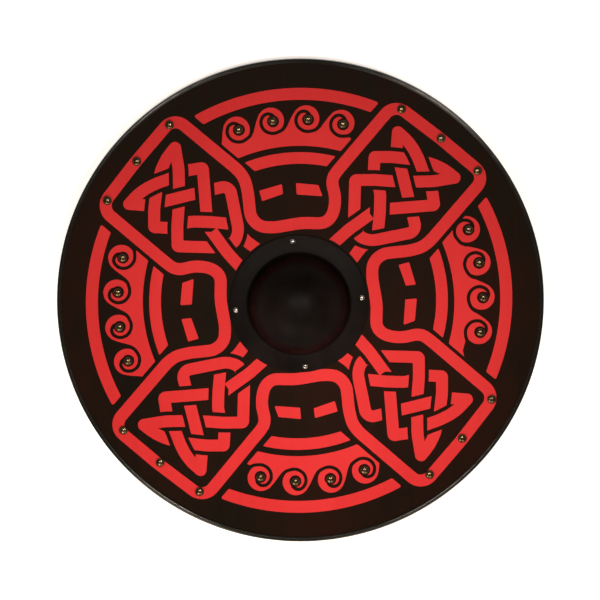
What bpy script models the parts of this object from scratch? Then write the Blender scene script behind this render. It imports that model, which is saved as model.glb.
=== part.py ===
"""A round wooden shield with a steel boss, lying face up on its grip.

Metres, +Z up. The shield's centre is on the Z axis and the grip's flat underside is at z = 0.
The board's face looks up, and +Y is the top of the painted pattern.
"""

from math import cos, pi, radians, sin

import bmesh
import bpy
from mathutils import Matrix, Vector

# Board and edging
shield_diameter = 0.590
board_thickness = 0.010
edging_cover = 0.0054
edging_web = 0.0016
edging_lip = 0.0017

# Boss
boss_flange_diameter = 0.168
boss_dome_diameter = 0.129
boss_height = 0.058
boss_wall = 0.0015
boss_foot_radius = 0.003
boss_shift = (-0.0018, -0.0038)
boss_turn = radians(5.7)

# Hand hole and grip
hand_hole_margin = 0.003
grip_thickness = 0.020
grip_width = 0.036
grip_waist = 0.030
grip_overhang = 0.018
grip_rounding = 0.004

# Pins that hold the boss and the grip
pin_flange_inset = 0.0075
pin_head_diameter = 0.0068
pin_head_height = 0.0022
pin_shank_diameter = 0.0034
pin_point_cover = 0.003

# Decorative nails
nail_head_diameter = 0.011
nail_head_height = 0.0036
nail_shank_diameter = 0.0024
nail_point_cover = 0.002

# Places of the nails, which follow the painted pattern in from the shield's edge
pattern_turn = radians(4.35)
scroll_nail_inset = 0.0733
scroll_nail_step = radians(11.05)
scroll_nail_count = 4
knot_nail_inset = 0.0340
knot_nail_side = 0.0595
knot_nail_drop = 0.0025
knot_nail_slant = 0.0015

# Small gap that touching pieces keep, and how far a drill starts above what it cuts
seat_gap = 0.0003
drill_lead = 0.004

# Facets round each turned piece
rim_facets = 88
boss_facets = 48
nail_facets = 10
pin_facets = 12
drill_facets = 8

board_back = grip_thickness + seat_gap
board_front = board_back + board_thickness
head_seat = board_front + seat_gap
flange_front = head_seat + boss_wall
pin_circle_radius = boss_flange_diameter / 2 - pin_flange_inset

# Each quarter of the pattern: its name, and how far its hand-set nails stray from a true quarter
scroll_quarters = {
    "top": (radians(90), radians(-1.2)),
    "left": (radians(180), radians(-1.45)),
    "bottom": (radians(270), radians(-0.35)),
    "right": (radians(0), radians(2.2)),
}
knot_quarters = {
    "top_right": (radians(45), 0.0),
    "top_left": (radians(135), 0.0),
    "bottom_left": (radians(225), 0.0),
    "bottom_right": (radians(315), -0.0025),
}
boss_pins = {
    "top": radians(90),
    "left": radians(180),
    "bottom": radians(270),
    "right": radians(0),
}
grip_pins = ("top", "bottom")


def clear_scene():
    for obj in list(bpy.data.objects):
        bpy.data.objects.remove(obj)


def new_collection(name):
    collection = bpy.data.collections.new(name)
    bpy.context.scene.collection.children.link(collection)
    return collection


def plain_material(name, colour, roughness, metallic=0.0):
    material = bpy.data.materials.new(name)
    material.use_nodes = True
    material.diffuse_color = (*colour, 1.0)
    shader = material.node_tree.nodes["Principled BSDF"]
    shader.inputs["Base Color"].default_value = (*colour, 1.0)
    shader.inputs["Roughness"].default_value = roughness
    shader.inputs["Metallic"].default_value = metallic
    return material


def add_object(name, mesh, collection, material=None):
    obj = bpy.data.objects.new(name, mesh)
    collection.objects.link(obj)
    if material:
        mesh.materials.append(material)
    return obj


def smooth_sides(mesh, sharp_angle=35):
    mesh.shade_smooth()
    mesh.set_sharp_from_angle(angle=radians(sharp_angle))


def cylinder_mesh(name, radius, low, high, facets):
    """An upright cylinder from low to high."""
    mesh = bpy.data.meshes.new(name)
    shape = bmesh.new()
    bmesh.ops.create_cone(
        shape,
        cap_ends=True,
        segments=facets,
        radius1=radius,
        radius2=radius,
        depth=high - low,
        matrix=Matrix.Translation((0, 0, (low + high) / 2)),
    )
    shape.to_mesh(mesh)
    shape.free()
    return mesh


def profile_mesh(name, points, closed=False):
    """A turned piece's outline at +X, as (radius, height) points that run down its outer side."""
    mesh = bpy.data.meshes.new(name)
    shape = bmesh.new()
    verts = [shape.verts.new((radius, 0, height)) for radius, height in points]
    for start, end in zip(verts, verts[1:] + verts[:1] if closed else verts[1:]):
        shape.edges.new((start, end))
    shape.to_mesh(mesh)
    shape.free()
    return mesh


def turn_profile(obj, facets):
    screw = obj.modifiers.new("turn", "SCREW")
    screw.axis = "Z"
    screw.angle = 2 * pi
    screw.steps = facets
    screw.render_steps = facets
    screw.use_merge_vertices = True
    screw.merge_threshold = 0.00001
    screw.use_smooth_shade = True
    return screw


def around(radius, angle, centre=(0.0, 0.0)):
    return Vector((centre[0] + radius * cos(angle), centre[1] + radius * sin(angle), 0))


def quarter_arc(radius, height, steps, base):
    """Points of a dome from its top on the axis to its widest at the height of base."""
    points = []
    for step in range(steps + 1):
        lean = radians(90) * (1 - step / steps)
        points.append((radius * cos(lean) if step else 0.0, base + height * sin(lean)))
    return points


def cutter_collection(name, parent):
    collection = bpy.data.collections.new(name)
    parent.children.link(collection)
    return collection


def hide_cutter(obj):
    obj.hide_render = True
    obj.display_type = "WIRE"


def add_drill(name, mesh, place, collection):
    drill = add_object(name, mesh, collection)
    drill.location = place
    hide_cutter(drill)
    return drill


def cut_with(obj, cutter, name):
    boolean = obj.modifiers.new(name, "BOOLEAN")
    boolean.operation = "DIFFERENCE"
    boolean.solver = "EXACT"
    if isinstance(cutter, bpy.types.Collection):
        boolean.operand_type = "COLLECTION"
        boolean.collection = cutter
    else:
        boolean.object = cutter


def drill_radius(shank_diameter, facets):
    """A drill whose flats stay a seat gap clear of the shank."""
    return (shank_diameter / 2 + seat_gap) / cos(pi / facets)


def scroll_nail_places():
    """The nails in the scrolls: one row of them on a circle in each quarter."""
    radius = shield_diameter / 2 - scroll_nail_inset
    for name, (quarter, stray) in scroll_quarters.items():
        for index in range(scroll_nail_count):
            offset = (index - (scroll_nail_count - 1) / 2) * scroll_nail_step
            angle = quarter + pattern_turn + stray - offset
            yield f"scroll_nail_{name}_{index + 1}", around(radius, angle)


def knot_nail_places():
    """The three nails on the outer run of the strap round each knot."""
    middle_reach = shield_diameter / 2 - knot_nail_inset
    for name, (quarter, reach_stray) in knot_quarters.items():
        turn = Matrix.Rotation(quarter + pattern_turn, 3, "Z")
        for side in (-1, 0, 1):
            reach = middle_reach + reach_stray - knot_nail_drop * side**2 + knot_nail_slant * side
            yield f"knot_nail_{name}_{side + 2}", turn @ Vector((reach, -knot_nail_side * side, 0))


def pin_places():
    for name, angle in boss_pins.items():
        yield name, around(pin_circle_radius, angle + boss_turn, boss_shift)


def pin_point_height(name):
    """The grip's pins end inside the grip and the other two inside the board."""
    return pin_point_cover if name in grip_pins else board_back + pin_point_cover


def headed_profile(head_radius, head_height, dome_steps, shank_radius, seat, point):
    """A domed head on a pointed shank."""
    points = quarter_arc(head_radius, head_height, dome_steps, seat)
    tip = shank_radius * 2
    return points + [(shank_radius, seat), (shank_radius, point + tip), (0.0, point)]


def make_drills(cutters):
    nail_drills = cutter_collection("nail_drills", cutters)
    nail_point = board_back + nail_point_cover
    nail_drill = cylinder_mesh(
        "nail_drill",
        drill_radius(nail_shank_diameter, drill_facets),
        nail_point - seat_gap,
        head_seat + drill_lead,
        drill_facets,
    )
    for name, place in (*scroll_nail_places(), *knot_nail_places()):
        add_drill(f"drill_{name}", nail_drill, place, nail_drills)

    pin_drills = cutter_collection("pin_drills", cutters)
    for name, place in pin_places():
        pin_drill = cylinder_mesh(
            f"pin_drill_{name}",
            drill_radius(pin_shank_diameter, pin_facets),
            pin_point_height(name) - seat_gap,
            flange_front + drill_lead,
            pin_facets,
        )
        add_drill(f"drill_boss_pin_{name}", pin_drill, place, pin_drills)
    return nail_drills, pin_drills


def make_board(parts, cutters, nail_drills, pin_drills):
    """The disc of the shield, with its hand hole and the holes of its nails and pins."""
    radius = shield_diameter / 2 - edging_web - seat_gap
    mesh = cylinder_mesh("board", radius, board_back, board_front, rim_facets)
    board = add_object("board", mesh, parts, plain_material("black_paint", (0.012, 0.010, 0.008), 0.5))
    smooth_sides(mesh)
    hole_radius = boss_dome_diameter / 2 - boss_foot_radius - boss_wall - hand_hole_margin
    hole_mesh = cylinder_mesh(
        "hand_hole", hole_radius, board_back - drill_lead, board_front + drill_lead, boss_facets
    )
    hole = add_drill("hand_hole", hole_mesh, (*boss_shift, 0), cutters)
    cut_with(board, hole, "hand_hole")
    cut_with(board, nail_drills, "nail_holes")
    cut_with(board, pin_drills, "pin_holes")
    return board


def make_edging(parts):
    """A channel with rounded lips that closes over the board's edge."""
    outer = shield_diameter / 2
    web_inside = outer - edging_web
    middle = (board_back + board_front) / 2
    slot_half = board_thickness / 2 + seat_gap
    lip_steps = 4
    lip = []
    for step in range(lip_steps + 1):
        lean = pi * (1 - step / lip_steps)
        lip.append((outer - edging_cover / 2 * (1 - cos(lean)), slot_half + edging_lip * sin(lean)))
    points = [(radius, middle + height) for radius, height in lip]
    points += [(radius, middle - height) for radius, height in reversed(lip)]
    points += [(web_inside, middle - slot_half), (web_inside, middle + slot_half)]
    mesh = profile_mesh("edging", points, closed=True)
    edging = add_object("edging", mesh, parts, plain_material("black_enamel", (0.014, 0.013, 0.010), 0.25))
    turn_profile(edging, rim_facets)
    return edging


def make_boss(parts, pin_drills):
    """A pressed steel dome on a flat flange, open behind for the hand."""
    wall_radius = boss_dome_diameter / 2 - boss_foot_radius
    foot_top = flange_front + boss_foot_radius
    top = head_seat + boss_height
    dome_steps = 8
    points = quarter_arc(wall_radius, top - foot_top, dome_steps, foot_top)
    foot_steps = 3
    for step in range(1, foot_steps + 1):
        lean = radians(90) * step / foot_steps
        points.append(
            (
                wall_radius + boss_foot_radius * (1 - cos(lean)),
                foot_top - boss_foot_radius * sin(lean),
            )
        )
    points.append((boss_flange_diameter / 2, flange_front))
    mesh = profile_mesh("boss", points)
    boss = add_object("boss", mesh, parts, plain_material("black_steel", (0.010, 0.008, 0.007), 0.2, 0.6))
    boss.location = (*boss_shift, 0)
    turn_profile(boss, boss_facets)
    shell = boss.modifiers.new("sheet", "SOLIDIFY")
    shell.thickness = boss_wall
    shell.offset = -1
    shell.use_even_offset = True
    cut_with(boss, pin_drills, "pin_holes")
    return boss


def make_grip(parts, pin_drills):
    """A wooden bar across the hand hole, waisted for the hand and flat underneath."""
    length = 2 * (pin_circle_radius + grip_overhang)
    mesh = bpy.data.meshes.new("grip")
    shape = bmesh.new()
    bmesh.ops.create_cube(shape, size=1)
    sections = 12
    for section in range(1, sections):
        plane = Vector((section / sections - 0.5, 0, 0))
        bmesh.ops.bisect_plane(
            shape, geom=shape.verts[:] + shape.edges[:] + shape.faces[:], plane_co=plane, plane_no=(1, 0, 0)
        )
    waist_reach = pin_circle_radius - grip_overhang
    for vert in shape.verts:
        along = vert.co.x * length
        share = min(abs(along) / waist_reach, 1.0)
        width = grip_waist + (grip_width - grip_waist) * (1 - cos(pi * share)) / 2
        vert.co = Vector((along, vert.co.y * width, (vert.co.z + 0.5) * grip_thickness))
    shape.to_mesh(mesh)
    shape.free()
    grip = add_object("grip", mesh, parts, plain_material("bare_wood", (0.30, 0.17, 0.08), 0.6))
    grip.location = (*boss_shift, 0)
    grip.rotation_euler = (0, 0, boss_pins[grip_pins[0]] + boss_turn)
    rounding = grip.modifiers.new("rounding", "BEVEL")
    rounding.width = min(grip_rounding, grip_thickness / 3, grip_waist / 3)
    rounding.segments = 2
    rounding.limit_method = "ANGLE"
    rounding.angle_limit = radians(40)
    cut_with(grip, pin_drills, "pin_holes")
    smooth_sides(mesh)
    return grip


def make_pins(parts):
    material = plain_material("bright_steel", (0.62, 0.60, 0.58), 0.25, 1.0)
    for name, place in pin_places():
        points = headed_profile(
            pin_head_diameter / 2,
            pin_head_height,
            3,
            pin_shank_diameter / 2,
            flange_front + seat_gap,
            pin_point_height(name),
        )
        mesh = profile_mesh(f"boss_pin_{name}", points)
        pin = add_object(f"boss_pin_{name}", mesh, parts, material)
        pin.location = place
        turn_profile(pin, pin_facets)


def make_nails(parts):
    material = plain_material("dark_brass", (0.10, 0.06, 0.03), 0.35, 1.0)
    points = headed_profile(
        nail_head_diameter / 2,
        nail_head_height,
        3,
        nail_shank_diameter / 2,
        head_seat,
        board_back + nail_point_cover,
    )
    mesh = profile_mesh("nail", points)
    mesh.materials.append(material)
    for name, place in (*scroll_nail_places(), *knot_nail_places()):
        nail = add_object(name, mesh, parts)
        nail.location = place
        turn_profile(nail, nail_facets)


def main():
    clear_scene()
    parts = new_collection("round_wooden_shield")
    cutters = new_collection("cutters")
    nail_drills, pin_drills = make_drills(cutters)
    make_board(parts, cutters, nail_drills, pin_drills)
    make_edging(parts)
    make_boss(parts, pin_drills)
    make_grip(parts, pin_drills)
    make_pins(parts)
    make_nails(parts)


main()
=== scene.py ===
from math import asin, atan2, ceil, cos, pi, radians, sin, sqrt, tan

import bmesh
import bpy
import numpy as np
from mathutils import Matrix, Vector
from mathutils.geometry import delaunay_2d_cdt


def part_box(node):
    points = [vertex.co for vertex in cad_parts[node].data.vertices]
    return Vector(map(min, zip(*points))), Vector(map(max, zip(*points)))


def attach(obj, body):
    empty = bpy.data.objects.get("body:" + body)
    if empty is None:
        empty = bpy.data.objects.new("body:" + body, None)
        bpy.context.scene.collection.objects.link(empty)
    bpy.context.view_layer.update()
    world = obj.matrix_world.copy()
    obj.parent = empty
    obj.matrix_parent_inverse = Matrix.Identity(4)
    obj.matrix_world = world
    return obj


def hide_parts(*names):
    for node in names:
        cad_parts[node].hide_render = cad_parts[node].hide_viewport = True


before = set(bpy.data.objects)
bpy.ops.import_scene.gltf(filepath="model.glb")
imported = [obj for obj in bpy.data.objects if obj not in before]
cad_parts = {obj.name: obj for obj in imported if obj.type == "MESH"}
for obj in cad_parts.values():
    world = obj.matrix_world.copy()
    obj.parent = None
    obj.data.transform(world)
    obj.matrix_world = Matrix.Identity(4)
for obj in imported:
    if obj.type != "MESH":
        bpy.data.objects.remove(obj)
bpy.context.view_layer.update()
scene = bpy.context.scene
metre = 1000  # millimetres


# Shader maths: a wire is a socket that takes plain arithmetic, and node() adds any other node
class Wire:
    def __init__(self, tree, socket=None):
        self.tree = tree
        self.socket = socket

    def node(self, kind, settings=None, sockets=None, output=0):
        made = self.tree.nodes.new(kind)
        for name, value in (settings or {}).items():
            if name == "stops":
                self.setStops(made.color_ramp, value)
            else:
                setattr(made, name, value)
        for name, value in (sockets or {}).items():
            if isinstance(value, Wire):
                self.tree.links.new(value.socket, made.inputs[name])
            else:
                made.inputs[name].default_value = value
        return Wire(self.tree, made.outputs[output] if made.outputs else None)

    def setStops(self, ramp, stops):
        while len(ramp.elements) < len(stops):
            ramp.elements.new(0.5)
        for element, (place, colour) in zip(ramp.elements, stops):
            element.position = place
            element.color = colour

    def maths(self, operation, *values):
        return self.node("ShaderNodeMath", {"operation": operation}, dict(enumerate(values)))

    def __add__(self, other):
        return self.maths("ADD", self, other)

    def __mul__(self, other):
        return self.maths("MULTIPLY", self, other)

    __radd__ = __add__
    __rmul__ = __mul__


def newMaterial(name):
    material = bpy.data.materials.new(name)
    material.use_nodes = True
    material.node_tree.nodes.clear()
    return material, Wire(material.node_tree)


def closeMaterial(wire, sockets):
    surface = wire.node("ShaderNodeBsdfPrincipled", None, sockets)
    wire.node("ShaderNodeOutputMaterial", None, {"Surface": surface})


def grain(wire, scale, detail, roughness=0.55, stretch=(1, 1, 1), turn=0.0):
    place = wire.node("ShaderNodeTexCoord", output="Object")
    turning = {"Vector": place, "Rotation": (0, 0, turn), "Scale": stretch}
    place = wire.node("ShaderNodeMapping", None, turning)
    noise = {"Vector": place, "Scale": scale, "Detail": detail, "Roughness": roughness}
    return wire.node("ShaderNodeTexNoise", None, noise, output="Fac")


def ramp(wire, value, *stops):
    settings = {"stops": [(place, (shade, shade, shade, 1)) for place, shade in stops]}
    return wire.node("ShaderNodeValToRGB", settings, {"Fac": value}, output="Color")


def mixColours(wire, share, first, second):
    return wire.node("ShaderNodeMix", {"data_type": "RGBA"}, {0: share, 6: first, 7: second}, output=2)


# A finish blends its grains by their shares, for the way from dark to light, the roughness and the bump
def finish(name, look):
    material, wire = newMaterial(name)
    grains = {part: grain(wire, **settings) for part, settings in look["grains"].items()}

    def blend(shares):
        parts = [grains[part] * share for part, share in shares.items()]
        return sum(parts[1:], parts[0])

    colour, roughness, bump = look["colour"], look["roughness"], look.get("bump")
    share = ramp(wire, blend(colour["shares"]), *colour["stops"])
    sockets = {
        "Base Color": mixColours(wire, share, look["dark"], look["light"]),
        "Roughness": ramp(wire, blend(roughness["shares"]), *roughness["stops"]),
        **look["shader"],
    }
    if bump:
        heights = {"Height": blend(bump["shares"]), "Strength": bump["strength"], "Distance": bump["depth"]}
        sockets["Normal"] = wire.node("ShaderNodeBump", None, heights)
    closeMaterial(wire, sockets)
    return material


def addPiece(name, shape, materials, node):
    mesh = bpy.data.meshes.new(name)
    shape.to_mesh(mesh)
    shape.free()
    for material in materials:
        mesh.materials.append(material)
    piece = bpy.data.objects.new(name, mesh)
    scene.collection.objects.link(piece)
    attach(piece, "root")
    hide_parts(node)
    return piece


def middleOf(node):
    low, high = (Vector(corner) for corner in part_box(node))
    return (low + high) / 2, low, high


# The board: its painted face is cut flush into black and red along the pattern's outlines (in millimetres)
board = {
    "rimPoints": 240,
    "holePoints": 96,
    "holeRadius": 57.0,
    "holeMiddle": (-1.8, -3.8),
    "flangeShadowRing": 85.6,  # painted shadow: a black ring round the boss, set higher than the boss so it shows only on the top side, where the flange's shadow falls
    "flangeShadowMiddle": (-1.8, -2.4),
}
groups = ("top", "topRight", "right", "bottomRight", "bottom", "bottomLeft", "left", "topLeft")
arms = groups[0::2]
knots = groups[1::2]
pattern = {
    "turn": 4.35,
    "slips": {  # how far each hand-placed group sits from its true place
        "top": (-0.6, 0.45),
        "topRight": (-0.5, -0.4),
        "right": (-2.0, -2.3),
        "bottomRight": (-4.1, -2.4),
        "bottom": (-4.1, -2.0),
        "bottomLeft": (-2.7, -1.7),
        "left": (-2.4, -0.9),
        "topLeft": (-1.3, -0.6),
    },
    "bendStep": radians(7),
    "straightBend": radians(89.6),  # half of the angle at a corner that needs no rounding
    "bendRoom": 0.49,  # the share of a side that a rounded corner may take
    "tightestBend": 0.8,
    "mergeReach": 0.001,
    "batch": 2000000,  # how many pairs of face and edge are worked on at once
}
strap = {
    "width": 14.6,
    "arm": [  # across, outwards, outer radius of the bend
        (-64.6, 166.0, 60),
        (-59.4, 159.5, 60),
        (-55.5, 151.8, 60),
        (-53.8, 143.2, 60),
        (-52.7, 134.6, 60),
        (-52.4, 122.0, 60),
        (-51.9, 107.5, 50),
        (-46.6, 98.2, 50),
        (-39.0, 92.9, 50),
        (-30.3, 91.5, 60),
        (-21.6, 91.1, 60),
        (-8.7, 92.3, 60),
        (4.3, 93.6, 60),
        (13.0, 93.7, 60),
        (26.0, 92.4, 60),
        (33.5, 91.8, 60),
        (40.0, 93.7, 50),
        (46.0, 99.2, 50),
        (49.6, 106.9, 50),
        (51.4, 115.4, 60),
        (52.0, 124.0, 60),
        (50.8, 132.0, 60),
        (49.8, 139.0, 60),
        (51.2, 146.5, 50),
        (56.0, 152.9, 60),
        (65.0, 162.2, 60),
    ],
    "corner": [(-70.3, 257, 24.5), (0, 261, 200), (71.6, 261.5, 23.5)],
}
bands = {  # left and right: how far the ends stay from the middle line of the knot beside them
    "combBase": {
        "inner": 188.5,
        "outer": 207.3,
        "left": 84.0,
        "right": 81.7,
        "shifts": {"top": (0, 0), "right": (0, 0), "bottom": (0, 0), "left": (0, 0)},
    },
    "outerArc": {
        "inner": 244.9,
        "outer": 259.5,
        "left": 88.0,
        "right": 85.2,
        "shifts": {"top": (0.7, -0.4), "right": (-5.2, -0.5), "bottom": (-1.7, -1.5), "left": (-2.7, -1.8)},
    },
    "innerArc": {
        "inner": 166.6,
        "outer": 180.8,
        "left": 85.2,
        "right": 82.4,
        "shifts": {"top": (0, 0), "right": (-2.7, 0), "bottom": (0, 0), "left": (-0.4, 0)},
    },
    "steps": 40,
    "rounding": 2.4,
}
bars = {
    "left": [(-39, 137), (-11, 143), (-10.5, 131), (-36.5, 124)],
    "right": [(6, 143), (33, 138.5), (37, 124.5), (6, 129)],
    "rounding": 1.2,
}
scroll = {  # measured across and outwards from the middle of its disc
    "middle": {"top": (-2.3, 0.7), "right": (-0.9, -2.4), "bottom": (-0.4, 0.7), "left": (-0.6, 1.2)},
    "radius": 16.0,
    "points": 48,
    "stem": [
        (-12.6, 10.4),
        (-14.6, 7.0),
        (-16.8, 3.0),
        (-18.8, -1.4),
        (-20.8, -6.2),
        (-23.2, -11.4),
        (-26.4, -16.2),
        (-29, -19),
        (-29, -26),
        (-4, -26),
        (2, -8),
    ],
    "groove": [  # angle and radius
        (-22, 19.4),
        (-46, 18.4),
        (-90, 17.0),
        (-135, 15.0),
        (-180, 13.0),
        (-225, 11.2),
        (-262, 9.2),
        (-300, 6.8),
        (-340, 4.9),
    ],
    "grooveWidth": 4.1,
    "grooveBend": 20,
    "eyeMiddle": (0.2, -0.5),
    "eyeRadius": 7.3,
    "eyePoints": 32,
    "wedge": [(12, -18.4), (20.4, -17.4), (37.2, -10.6), (46, -7), (46, -30), (12, -30)],
    "maskFrom": (12, 150),  # the black beside a knot that trims the ends of the comb
    "maskTo": 236,
}
knot = {
    "width": 14.4,
    "gap": 4.9,
    "overlap": 0.4,  # how far a gap reaches past the lower strand's edges
    "cornerRoom": 0.5,  # corners of the strand nearer than this to a section's ends are left out
    "strand": [  # across, outwards, outer radius of the bend
        (15.6, 72, 0),
        (13.3, 99, 40),
        (20.4, 120.2, 20),
        (3.0, 144.8, 60),
        (-12.8, 164.2, 40),
        (-33.0, 175.2, 24),
        (-46.0, 192.1, 8),
        (-30.2, 205.7, 60),
        (-10.2, 219.3, 30),
        (12, 231.0, 45),
        (27, 235.4, 60),
        (44.2, 236.2, 9),
        (27.5, 216.2, 60),
        (10, 200.5, 90),
        (-10.0, 184.1, 90),
        (-27.7, 171.0, 60),
        (-45.4, 155.4, 9),
        (-17.5, 121, 26),
        (1, 105.6, 22),
        (17, 111, 44),
        (52.2, 156.2, 17),
        (-12.2, 202.1, 90),
        (-31.5, 216, 26),
        (-44.2, 233.4, 11),
        (-30.2, 233.2, 60),
        (-17.9, 230.7, 60),
        (-4.2, 225.0, 70),
        (10, 217.0, 80),
        (33.2, 206.5, 30),
        (47.2, 194.6, 9),
        (-2.5, 144.5, 26),
        (-7, 125, 60),
        (-11.9, 105, 80),
        (-16.0, 72, 0),
    ],
}
black, red, wood = 0, 1, 2
coats = []  # what is painted later lies over what is painted before


def unit(vector):
    return vector / np.linalg.norm(vector)


def polar(radius, angle):
    return np.array((radius * cos(angle), radius * sin(angle)))


def circleLoop(radius, count, middle=(0, 0)):
    return np.array([polar(radius, 2 * pi * step / count) + middle for step in range(count)])


def groupAxes(group):
    turn = radians(90 - 45 * groups.index(group) + pattern["turn"])
    return np.array((sin(turn), -cos(turn))), np.array((cos(turn), sin(turn)))


def onBoard(group, points):
    across, outwards = groupAxes(group)
    slip = np.array(pattern["slips"][group])
    return [(*(x * across + y * outwards + slip), *rest) for x, y, *rest in points]


def coat(colour, *loops, within=(), without=()):
    coats.append([colour] + [[np.array(loop) for loop in part] for part in (loops, within, without)])


def roundedLoop(corners):
    points = []
    for index, (x, y, radius) in enumerate(corners):
        corner = np.array((x, y))
        back = np.array(corners[index - 1][:2]) - corner
        ahead = np.array(corners[(index + 1) % len(corners)][:2]) - corner
        room = pattern["bendRoom"] * min(np.linalg.norm(back), np.linalg.norm(ahead))
        back, ahead = unit(back), unit(ahead)
        half = np.arccos(np.clip(back @ ahead, -1, 1)) / 2
        if radius <= 0 or half > pattern["straightBend"]:
            points.append(corner)
            continue
        trim = min(radius / tan(half), room)
        radius = trim * tan(half)
        middle = corner + unit(back + ahead) * radius / sin(half)
        start = corner + back * trim - middle
        end = corner + ahead * trim - middle
        begin = atan2(start[1], start[0])
        sweep = (atan2(end[1], end[0]) - begin + pi) % (2 * pi) - pi
        steps = max(2, ceil(abs(sweep) / pattern["bendStep"]))
        points += [middle + polar(radius, begin + sweep * step / steps) for step in range(steps + 1)]
    return np.array(points)


def stripSides(path, width, closed):
    points = [np.array(corner[:2], float) for corner in path]
    left, right = [], []
    for index, point in enumerate(points):
        first = index == 0 and not closed
        last = index == len(points) - 1 and not closed
        ahead = None if last else unit(points[(index + 1) % len(points)] - point)
        back = ahead if first else unit(point - points[index - 1])
        ahead = back if last else ahead
        side = np.array((-back[1] - ahead[1], back[0] + ahead[0]))
        side *= width / (side @ side)
        turnsLeft = back[0] * ahead[1] - back[1] * ahead[0] > 0
        outer = 0 if first or last else path[index][2]
        inner = 0 if first or last else max(outer - width, pattern["tightestBend"])
        left.append((*(point + side), inner if turnsLeft else outer))
        right.append((*(point - side), outer if turnsLeft else inner))
    return left, right


def strip(path, width, closed=False):
    left, right = stripSides(path, width, closed)
    if closed:
        return roundedLoop(left), roundedLoop(right)[::-1]
    return (roundedLoop(left + right[::-1]),)


def besideArm(index, band):
    return (groups[index - 1], band["left"]), (groups[(index + 1) % len(groups)], -band["right"])


# A band follows its circle from one knot to the next
def bandOutline(group, band):
    index = groups.index(group)
    own, outwards = groupAxes(group)
    aside, ahead = band["shifts"][group]
    slip = np.array(pattern["slips"][group]) + aside * own + ahead * outwards
    ends = []
    for neighbour, reach in besideArm(index, band):
        across, _ = groupAxes(neighbour)
        ends.append(reach + (np.array(pattern["slips"][neighbour]) - slip) @ across)
    outline = []
    for radius, way in ((band["inner"], 1), (band["outer"], -1)):
        start = asin(ends[0] / radius) - pi / 4
        end = asin(ends[1] / radius) + pi / 4
        arc = []
        for step in range(bands["steps"] + 1):
            angle = start + (end - start) * step / bands["steps"]
            rounding = bands["rounding"] if step in (0, bands["steps"]) else 0
            arc.append((radius * sin(angle) + aside, radius * cos(angle) + ahead, rounding))
        outline += arc[::way]
    return roundedLoop(onBoard(group, outline))


def besideNail(points, middle, across, outwards):
    return [middle + x * across + y * outwards for x, y in points]


# Four scrolls to an arm, each round the nail in its eye
def paintScrolls(arm):
    aside, ahead = scroll["middle"][arm]
    places = []
    for index in (1, 2, 3, 4):
        nail = np.array(middleOf(f"scroll_nail_{arm}_{index}")[0][:2]) * metre
        outwards = unit(nail)
        across = np.array((outwards[1], -outwards[0]))
        places.append((nail, nail + aside * across + ahead * outwards, across, outwards))
    for _, *axes in places:
        coat(red, besideNail(circleLoop(scroll["radius"], scroll["points"]), *axes))
        coat(red, besideNail(scroll["stem"], *axes))
    coat(red, besideNail(scroll["wedge"], *axes))  # closes the row at its last scroll
    turns = [polar(radius, radians(angle)) for angle, radius in scroll["groove"]]
    for nail, middle, across, outwards in places:
        track = besideNail(turns, middle, across, outwards)
        coat(black, *strip([(*point, scroll["grooveBend"]) for point in track], scroll["grooveWidth"]))
        eye = besideNail([scroll["eyeMiddle"]], nail, across, outwards)[0]
        coat(black, circleLoop(scroll["eyeRadius"], scroll["eyePoints"], eye))
    for neighbour, reach in besideArm(groups.index(arm), bands["combBase"]):
        near, start = scroll["maskFrom"]
        near *= 1 if reach > 0 else -1
        mask = ((near, start), (reach, start), (reach, scroll["maskTo"]), (near, scroll["maskTo"]))
        coat(black, onBoard(neighbour, mask))


def strapPath():
    path = []
    for arm, neighbour in zip(arms, knots):
        path += onBoard(arm, strap["arm"])
        path += onBoard(neighbour, strap["corner"])
    return path


def strandCrossings(path):
    points = np.array([corner[:2] for corner in path])
    steps = np.diff(points, axis=0)
    lengths = np.linalg.norm(steps, axis=1)
    starts = np.concatenate(([0], np.cumsum(lengths)))
    found = []
    for first in range(len(steps)):
        for second in range(first + 2, len(steps)):
            offset = points[second] - points[first]
            spread = steps[first][0] * steps[second][1] - steps[first][1] * steps[second][0]
            here = (offset[0] * steps[second][1] - offset[1] * steps[second][0]) / spread
            there = (offset[0] * steps[first][1] - offset[1] * steps[first][0]) / spread
            if 0 < here < 1 and 0 < there < 1:
                places = (starts[first] + here * lengths[first], starts[second] + there * lengths[second])
                found.append((*places, abs(spread) / lengths[first] / lengths[second]))
    return found, starts


def strandSection(path, starts, begin, end):
    points = np.array([corner[:2] for corner in path])
    begin, end = max(begin, 0), min(end, starts[-1])
    low, high = begin + knot["cornerRoom"], end - knot["cornerRoom"]
    section = [(*[np.interp(begin, starts, points[:, axis]) for axis in (0, 1)], 0)]
    section += [corner for corner, place in zip(path, starts) if low < place < high]
    section.append((*[np.interp(end, starts, points[:, axis]) for axis in (0, 1)], 0))
    return section


# The strand passes under and over itself by turns: each crossing leaves a black gap in the lower strand
def paintKnot(group):
    path = onBoard(group, knot["strand"])
    coat(red, *strip(path, knot["width"]))
    found, starts = strandCrossings(path)
    passes = sorted(place for crossing in found for place in crossing[:2])
    reachOver = knot["width"] / 2 + knot["gap"]
    for first, second, slant in found:
        over, under = (first, second) if passes.index(first) % 2 else (second, first)
        lean = sqrt(max(1 - slant**2, 0)) / slant
        reach = reachOver / slant + reachOver * lean
        upper = strandSection(path, starts, over - reach, over + reach)
        lower = strandSection(path, starts, under - reach, under + reach)
        coat(
            black,
            *strip(upper, 2 * reachOver),
            within=strip(lower, knot["width"] + knot["overlap"]),
            without=strip(upper, knot["width"]),
        )


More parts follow.
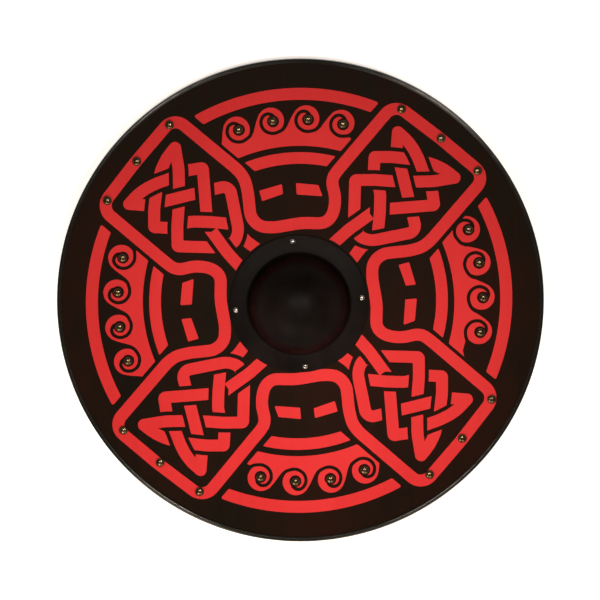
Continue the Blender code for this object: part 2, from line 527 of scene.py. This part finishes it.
def paintPattern():
    for arm in arms:
        coat(red, bandOutline(arm, bands["combBase"]))
        paintScrolls(arm)
        for name in ("outerArc", "innerArc"):
            coat(red, bandOutline(arm, bands[name]))
        for side in ("left", "right"):
            corners = [(x, y, bars["rounding"]) for x, y in bars[side]]
            coat(red, roundedLoop(onBoard(arm, corners)))
    coat(red, *strip(strapPath(), strap["width"], closed=True))
    for group in knots:
        paintKnot(group)
    # Painted shadow of the boss's flange: a black ring over the pattern's edge on the top side of the boss
    coat(black, circleLoop(board["flangeShadowRing"], board["holePoints"], board["flangeShadowMiddle"]))
    print("pattern painted in", len(coats), "coats")


def windingsOf(points, loop):
    total = np.zeros(len(points), int)
    near = np.flatnonzero(((points >= loop.min(0)) & (points <= loop.max(0))).all(1))
    (startX, startY), (endX, endY) = loop.T, np.roll(loop, -1, axis=0).T
    for some in np.array_split(near, max(1, len(near) * len(loop) // pattern["batch"])):
        x, y = points[some, :1], points[some, 1:]
        side = (endX - startX) * (y - startY) - (x - startX) * (endY - startY)
        up = (startY <= y) & (endY > y) & (side > 0)
        down = (startY > y) & (endY <= y) & (side < 0)
        total[some] = up.sum(1) - down.sum(1)
    return total


def coveredBy(points, loops):
    return sum((windingsOf(points, loop) for loop in loops), np.zeros(len(points), int)) != 0


# Every outline becomes an edge of the face, and each small face takes the colour of the last coat over it
def cutFace(rim, hole):
    loops = [rim, hole] + [loop for _, *parts in coats for part in parts for loop in part]
    edges, count = [], 0
    for loop in loops:
        edges += [(count + index, count + (index + 1) % len(loop)) for index in range(len(loop))]
        count += len(loop)
    points = [Vector(point) for loop in loops for point in loop]
    verts, _, faces, *_ = delaunay_2d_cdt(points, edges, [], 0, pattern["mergeReach"])
    flat = np.array([tuple(vert) for vert in verts])
    centres = np.array([flat[list(face)].mean(0) for face in faces])
    kept = (windingsOf(centres, rim) != 0) & (windingsOf(centres, hole) == 0)
    colours = np.zeros(len(faces), int)
    for colour, part, within, without in coats:
        covered = coveredBy(centres, part) & ~coveredBy(centres, without)
        colours[covered & coveredBy(centres, within) if within else covered] = colour
    return flat, [(face, int(colour)) for face, colour, keep in zip(faces, colours, kept) if keep]


def buildBoard(materials):
    _, low, high = middleOf("board")
    paintPattern()
    rim = circleLoop((high.x - low.x) / 2 * metre, board["rimPoints"])
    hole = circleLoop(board["holeRadius"], board["holePoints"], board["holeMiddle"])
    flat, faces = cutFace(rim, hole)
    shape = bmesh.new()
    corners = [shape.verts.new((x / metre, y / metre, high.z)) for x, y in flat]
    for face, colour in faces:
        shape.faces.new([corners[index] for index in face]).material_index = colour
    bmesh.ops.delete(shape, geom=[vert for vert in shape.verts if not vert.link_faces], context="VERTS")
    border = [edge for edge in shape.edges if edge.is_boundary]
    grown = bmesh.ops.extrude_edge_only(shape, edges=border)["geom"]
    lowered = [item for item in grown if isinstance(item, bmesh.types.BMVert)]
    bmesh.ops.translate(shape, verts=lowered, vec=(0, 0, low.z - high.z))
    ring = [edge for edge in shape.edges if edge.is_boundary]
    back = bmesh.ops.triangle_fill(shape, use_beauty=True, edges=ring)["geom"]
    for item in grown + back:
        if isinstance(item, bmesh.types.BMFace):
            item.material_index = wood
    bmesh.ops.recalc_face_normals(shape, faces=shape.faces[:])
    print("board", len(shape.faces), "faces")
    return addPiece("paintedBoard", shape, materials, "board")


# Turned pieces: a profile of (radius, height) is spun about an upright axis
turning = {"mergeReach": 0.000002, "sharpAngle": radians(50)}


def turned(profile, middle, steps, closed):
    shape = bmesh.new()
    verts = [shape.verts.new((radius, 0, height)) for radius, height in profile]
    pairs = zip(verts, verts[1:] + verts[:1]) if closed else zip(verts, verts[1:])
    edges = [shape.edges.new(pair) for pair in pairs]
    axis = {"cent": (0, 0, 0), "axis": (0, 0, 1), "angle": 2 * pi}
    bmesh.ops.spin(shape, geom=verts + edges, steps=steps, use_merge=True, **axis)
    bmesh.ops.remove_doubles(shape, verts=shape.verts[:], dist=turning["mergeReach"])
    bmesh.ops.recalc_face_normals(shape, faces=shape.faces[:])
    bmesh.ops.translate(shape, verts=shape.verts[:], vec=(middle[0], middle[1], 0))
    return shape


def smoothed(piece):
    piece.data.shade_smooth()
    piece.data.set_sharp_from_angle(angle=turning["sharpAngle"])
    return piece


def arcPoints(centre, size, start, end, steps):
    angles = [radians(start + (end - start) * step / steps) for step in range(steps + 1)]
    return [(centre[0] + size[0] * cos(angle), centre[1] + size[1] * sin(angle)) for angle in angles]


edging = {"cover": 0.0054, "web": 0.0016, "lip": 0.0017, "slotHalf": 0.0053, "lipSteps": 12, "steps": 224}


def buildEdging(material):
    middle, low, high = middleOf("edging")
    outer = (high.x - low.x) / 2
    half = edging["cover"] / 2
    profile = []
    for side, start, end in ((1, 180, 0), (-1, 0, -180)):
        lipMiddle = (outer - half, middle.z + side * edging["slotHalf"])
        profile += arcPoints(lipMiddle, (half, edging["lip"]), start, end, edging["lipSteps"])
    profile += [(outer - edging["web"], middle.z + side * edging["slotHalf"]) for side in (-1, 1)]
    shape = turned(profile, (0, 0), edging["steps"], closed=True)
    return smoothed(addPiece("rimEdging", shape, [material], "edging"))


boss = {
    "domeDiameter": 0.129,
    "wall": 0.0015,
    "footRadius": 0.003,
    "lip": 0.0006,
    "lipBend": 0.00018,
    "domeSteps": 28,
    "footSteps": 5,
    "steps": 144,
}


def domeProfile(foot, height, inset):
    radius = boss["domeDiameter"] / 2 - boss["footRadius"]
    dome = arcPoints((0, foot), (radius - inset, height - foot - inset), 90, 0, boss["domeSteps"])
    dome[0] = (0, dome[0][1])
    bend = boss["footRadius"] + inset
    bendMiddle = (radius + boss["footRadius"], foot)
    return dome + arcPoints(bendMiddle, (bend, bend), 180, 270, boss["footSteps"])[1:]


def buildBoss(material):
    middle, low, high = middleOf("boss")
    rim = (high.x - low.x) / 2
    front = low.z + boss["wall"]
    foot = front + boss["footRadius"]
    lip, lipBend = boss["lip"], boss["lipBend"]
    outside = domeProfile(foot, high.z, 0)
    outside += [(rim - lip, front), (rim - lipBend, front - lipBend), (rim, front - lip), (rim, low.z)]
    inside = domeProfile(foot, high.z, boss["wall"])
    shape = turned(outside + inside[::-1], middle, boss["steps"], closed=False)
    return smoothed(addPiece("bossDome", shape, [material], "boss"))


pins = {
    "head": 0.0034,
    "height": 0.0022,
    "brim": 0.0003,
    "shank": 0.0017,
    "taper": 0.0034,
    "headSteps": 12,
    "steps": 32,
}
nails = {
    "head": 0.0055,
    "height": 0.0036,
    "brim": 0.0004,
    "shank": 0.0012,
    "taper": 0.0024,
    "headSteps": 12,
    "steps": 40,
}


def headedProfile(sizes, seat, point):
    size = (sizes["head"], sizes["height"] - sizes["brim"])
    dome = arcPoints((0, seat + sizes["brim"]), size, 90, 0, sizes["headSteps"])
    dome[0] = (0, dome[0][1])
    shank = [(sizes["shank"], seat), (sizes["shank"], point + sizes["taper"]), (0, point)]
    return dome + [(sizes["head"], seat)] + shank


def buildHeads(kind, names, sizes, material):
    for name in names:
        middle, low, high = middleOf(name)
        profile = headedProfile(sizes, high.z - sizes["height"], low.z)
        shape = turned(profile, middle, sizes["steps"], closed=False)
        smoothed(addPiece(f"{kind}_{name}", shape, [material], name))


grip = {
    "length": 0.189,
    "width": 0.036,
    "waist": 0.030,
    "waistReach": 0.0585,
    "rounding": 0.0045,
    "roundingSegments": 5,
    "roundedFrom": radians(40),
    "sections": 36,
    "turn": radians(95.7),
}


def buildGrip(material):
    middle, low, high = middleOf("grip")
    shape = bmesh.new()
    bmesh.ops.create_cube(shape, size=1)
    for section in range(1, grip["sections"]):
        plane = (section / grip["sections"] - 0.5, 0, 0)
        everything = shape.verts[:] + shape.edges[:] + shape.faces[:]
        bmesh.ops.bisect_plane(shape, geom=everything, plane_co=plane, plane_no=(1, 0, 0))
    for vert in shape.verts:
        along = vert.co.x * grip["length"]
        share = min(abs(along) / grip["waistReach"], 1.0)
        width = grip["waist"] + (grip["width"] - grip["waist"]) * (1 - cos(pi * share)) / 2
        vert.co = Vector((along, vert.co.y * width, (vert.co.z + 0.5) * (high.z - low.z)))
    bmesh.ops.bevel(
        shape,
        geom=[edge for edge in shape.edges if edge.calc_face_angle(0) > grip["roundedFrom"]],
        offset=grip["rounding"],
        offset_type="OFFSET",
        segments=grip["roundingSegments"],
        profile=0.5,
        affect="EDGES",
        material=-1,
    )
    turn = Matrix.Rotation(grip["turn"], 3, "Z")
    bmesh.ops.rotate(shape, cent=(0, 0, 0), matrix=turn, verts=shape.verts[:])
    bmesh.ops.translate(shape, verts=shape.verts[:], vec=(middle.x, middle.y, low.z))
    return smoothed(addPiece("handGrip", shape, [material], "grip"))


# Finishes: each grain's scale is in waves to the metre, and a stop is (grain, amount)
paint = {
    "grains": {
        "cloud": {"scale": 7, "detail": 5},
        "strokes": {"scale": 120, "detail": 3, "roughness": 0.6, "stretch": (1, 0.06, 1), "turn": 0.5},
        "woodLines": {"scale": 210, "detail": 4, "roughness": 0.65, "stretch": (1, 0.03, 1), "turn": 0.03},
        "fine": {"scale": 900, "detail": 2},
    },
    "colour": {"shares": {"cloud": 0.7, "strokes": 0.3}, "stops": ((0.35, 0.0), (0.65, 1.0))},
    "roughness": {"shares": {"cloud": 0.5, "strokes": 0.5}, "stops": ((0.3, 0.44), (0.7, 0.60))},
    "bump": {"shares": {"strokes": 0.5, "woodLines": 0.35, "fine": 0.15}, "strength": 0.25, "depth": 0.0003},
    "shader": {"Specular IOR Level": 0.03},
}
blackPaint = {**paint, "dark": (0.0044, 0.0030, 0.0014, 1), "light": (0.0120, 0.0034, 0.0016, 1)}
redPaint = {**paint, "dark": (0.42, 0.018, 0.019, 1), "light": (0.47, 0.024, 0.024, 1)}
barePlywood = {
    "grains": {
        "lines": {"scale": 60, "detail": 6, "roughness": 0.6, "stretch": (0.06, 1, 1), "turn": 0.02},
        "wide": {"scale": 6, "detail": 4, "roughness": 0.5, "stretch": (0.15, 1, 1)},
    },
    "dark": (0.42, 0.25, 0.12, 1),
    "light": (0.62, 0.43, 0.25, 1),
    "colour": {"shares": {"lines": 0.6, "wide": 0.4}, "stops": ((0.3, 0.0), (0.7, 1.0))},
    "roughness": {"shares": {"lines": 1}, "stops": ((0.3, 0.5), (0.7, 0.7))},
    "bump": {"shares": {"lines": 1}, "strength": 0.3, "depth": 0.0004},
    "shader": {},
}
blackEnamel = {
    "grains": {
        "cloud": {"scale": 14, "detail": 5},
        "scratches": {"scale": 500, "detail": 3, "roughness": 0.7},
    },
    "dark": (0.006, 0.0045, 0.003, 1),
    "light": (0.05, 0.042, 0.030, 1),
    "colour": {"shares": {"scratches": 1}, "stops": ((0.60, 0.0), (0.72, 0.3))},
    "roughness": {"shares": {"cloud": 1}, "stops": ((0.3, 0.11), (0.7, 0.22))},
    "bump": {"shares": {"cloud": 1}, "strength": 0.15, "depth": 0.002},
    "shader": {"Specular IOR Level": 0.33},
}
blackenedSteel = {
    "grains": {
        "cloud": {"scale": 18, "detail": 5},
        "spinning": {"scale": 90, "detail": 4, "roughness": 0.6, "stretch": (1, 1, 6)},
    },
    "dark": (0.0014, 0.0009, 0.0007, 1),
    "light": (0.0065, 0.0036, 0.0028, 1),
    "colour": {"shares": {"cloud": 1}, "stops": ((0.3, 0.0), (0.7, 1.0))},
    "roughness": {"shares": {"cloud": 0.6, "spinning": 0.4}, "stops": ((0.3, 0.36), (0.7, 0.50))},
    "bump": {"shares": {"cloud": 1}, "strength": 0.2, "depth": 0.0015},
    "shader": {"Specular IOR Level": 0.05},
}
gripWood = {
    "grains": {
        "lines": {"scale": 220, "detail": 6, "roughness": 0.65, "stretch": (1, 0.05, 1), "turn": 0.1},
        "wide": {"scale": 26, "detail": 4, "roughness": 0.5, "stretch": (1, 0.2, 1), "turn": 0.1},
    },
    "dark": (0.20, 0.10, 0.045, 1),
    "light": (0.42, 0.25, 0.12, 1),
    "colour": {"shares": {"lines": 0.55, "wide": 0.45}, "stops": ((0.3, 0.0), (0.7, 1.0))},
    "roughness": {"shares": {"lines": 1}, "stops": ((0.3, 0.38), (0.7, 0.6))},
    "bump": {"shares": {"lines": 1}, "strength": 0.35, "depth": 0.0004},
    "shader": {},
}
brightSteel = {
    "grains": {"cloud": {"scale": 900, "detail": 3}},
    "dark": (0.34, 0.31, 0.30, 1),
    "light": (0.52, 0.49, 0.47, 1),
    "colour": {"shares": {"cloud": 1}, "stops": ((0.0, 0.0), (1.0, 1.0))},
    "roughness": {"shares": {"cloud": 1}, "stops": ((0.3, 0.18), (0.7, 0.34))},
    "shader": {"Metallic": 1.0},
}
darkBrass = {
    "grains": {"cloud": {"scale": 260, "detail": 4}, "dents": {"scale": 700, "detail": 3}},
    "dark": (0.080, 0.055, 0.029, 1),
    "light": (0.165, 0.116, 0.061, 1),
    "colour": {"shares": {"cloud": 1}, "stops": ((0.35, 0.0), (0.65, 1.0))},
    "roughness": {"shares": {"cloud": 1}, "stops": ((0.3, 0.20), (0.7, 0.27))},
    "bump": {"shares": {"dents": 1}, "strength": 0.03, "depth": 0.0003},
    "shader": {"Metallic": 1.0},
}

boardFinishes = {"blackPaint": blackPaint, "redPaint": redPaint, "barePlywood": barePlywood}
buildBoard([finish(name, look) for name, look in boardFinishes.items()])
buildEdging(finish("blackEnamel", blackEnamel))
buildBoss(finish("blackenedSteel", blackenedSteel))
buildGrip(finish("gripWood", gripWood))
quarters = ("top", "left", "bottom", "right")
corners = ("top_right", "top_left", "bottom_left", "bottom_right")
pinNames = [f"boss_pin_{quarter}" for quarter in quarters]
nailNames = [f"scroll_nail_{quarter}_{index}" for quarter in quarters for index in (1, 2, 3, 4)]
nailNames += [f"knot_nail_{corner}_{index}" for corner in corners for index in (1, 2, 3)]
buildHeads("pin", pinNames, pins, finish("brightSteel", brightSteel))
buildHeads("nail", nailNames, nails, finish("darkBrass", darkBrass))
print("pieces built")


# Studio: pale floor, soft light and a camera that looks down on the painted face
studio = {
    "floorSize": 40.0,
    "floorColour": (0.95, 0.95, 0.945, 1),
    "floorGlow": 0.62,
    "sky": ((0.0, 0.82), (0.12, 0.82), (0.40, 0.13)),  # height, brightness: bright where it meets the floor
}
lights = [  # azimuth, elevation, distance, size, power, colour, seen in reflections
    (-86, 72, 0.44, 0.30, 1.70, (1.0, 0.99, 0.98), False),
    (-115, 38, 1.20, 0.50, 4.4, (1.0, 0.82, 0.62), True),
    (-70, 36, 1.30, 0.60, 2.6, (1.0, 0.82, 0.62), True),
    (38, 76, 2.0, 0.17, 11, (1.0, 0.94, 0.80), True),
    (145, 77, 2.0, 0.17, 8.5, (1.0, 0.94, 0.82), True),
]
camera = {
    "distance": 20.0,
    "tilt": radians(-7.7),
    "target": (-0.0005, 0.0, 0.0253),
    "frameWidth": 0.7270,
    "sensor": 36,
    "farthest": 60,
}


def buildFloor():
    shape = bmesh.new()
    bmesh.ops.create_grid(shape, x_segments=1, y_segments=1, size=studio["floorSize"])
    mesh = bpy.data.meshes.new("studioFloor")
    shape.to_mesh(mesh)
    shape.free()
    floor = bpy.data.objects.new("studioFloor", mesh)
    scene.collection.objects.link(floor)
    material, wire = newMaterial("paleFloor")
    sockets = {
        "Base Color": studio["floorColour"],
        "Roughness": 0.9,
        "Specular IOR Level": 0.1,
        "Emission Color": studio["floorColour"],
        "Emission Strength": studio["floorGlow"],
    }
    closeMaterial(wire, sockets)
    mesh.materials.append(material)


def buildSky():
    world = bpy.data.worlds.new("studioWorld")
    world.use_nodes = True
    world.node_tree.nodes.clear()
    wire = Wire(world.node_tree)
    place = wire.node("ShaderNodeTexCoord", output="Generated")
    height = wire.node("ShaderNodeSeparateXYZ", None, {"Vector": place}, output="Z")
    background = wire.node("ShaderNodeBackground", None, {"Color": ramp(wire, height, *studio["sky"])})
    wire.node("ShaderNodeOutputWorld", None, {"Surface": background})
    scene.world = world


def buildLights():
    for index, (azimuth, elevation, distance, size, power, colour, reflected) in enumerate(lights):
        data = bpy.data.lights.new(f"softLight{index}", "AREA")
        data.shape = "DISK"
        data.size = size
        data.energy = power
        data.color = colour
        light = bpy.data.objects.new(f"softLight{index}", data)
        flat, rise = radians(azimuth), radians(elevation)
        light.location = Vector((cos(flat) * cos(rise), sin(flat) * cos(rise), sin(rise))) * distance
        light.rotation_euler = (-light.location).to_track_quat("-Z", "Y").to_euler()
        light.visible_camera = False
        light.visible_glossy = reflected
        scene.collection.objects.link(light)


def buildCamera():
    data = bpy.data.cameras.new("photoCamera")
    data.sensor_width = camera["sensor"]
    data.lens = camera["sensor"] * camera["distance"] / camera["frameWidth"]
    data.clip_end = camera["farthest"]
    photoCamera = bpy.data.objects.new("photoCamera", data)
    upright = Vector((0, -sin(camera["tilt"]), cos(camera["tilt"])))
    photoCamera.location = Vector(camera["target"]) + upright * camera["distance"]
    photoCamera.rotation_euler = (camera["tilt"], 0, 0)
    scene.collection.objects.link(photoCamera)
    scene.camera = photoCamera
    scene.view_settings.view_transform = "Standard"


buildFloor()
buildSky()
buildLights()
buildCamera()
print("studio built")
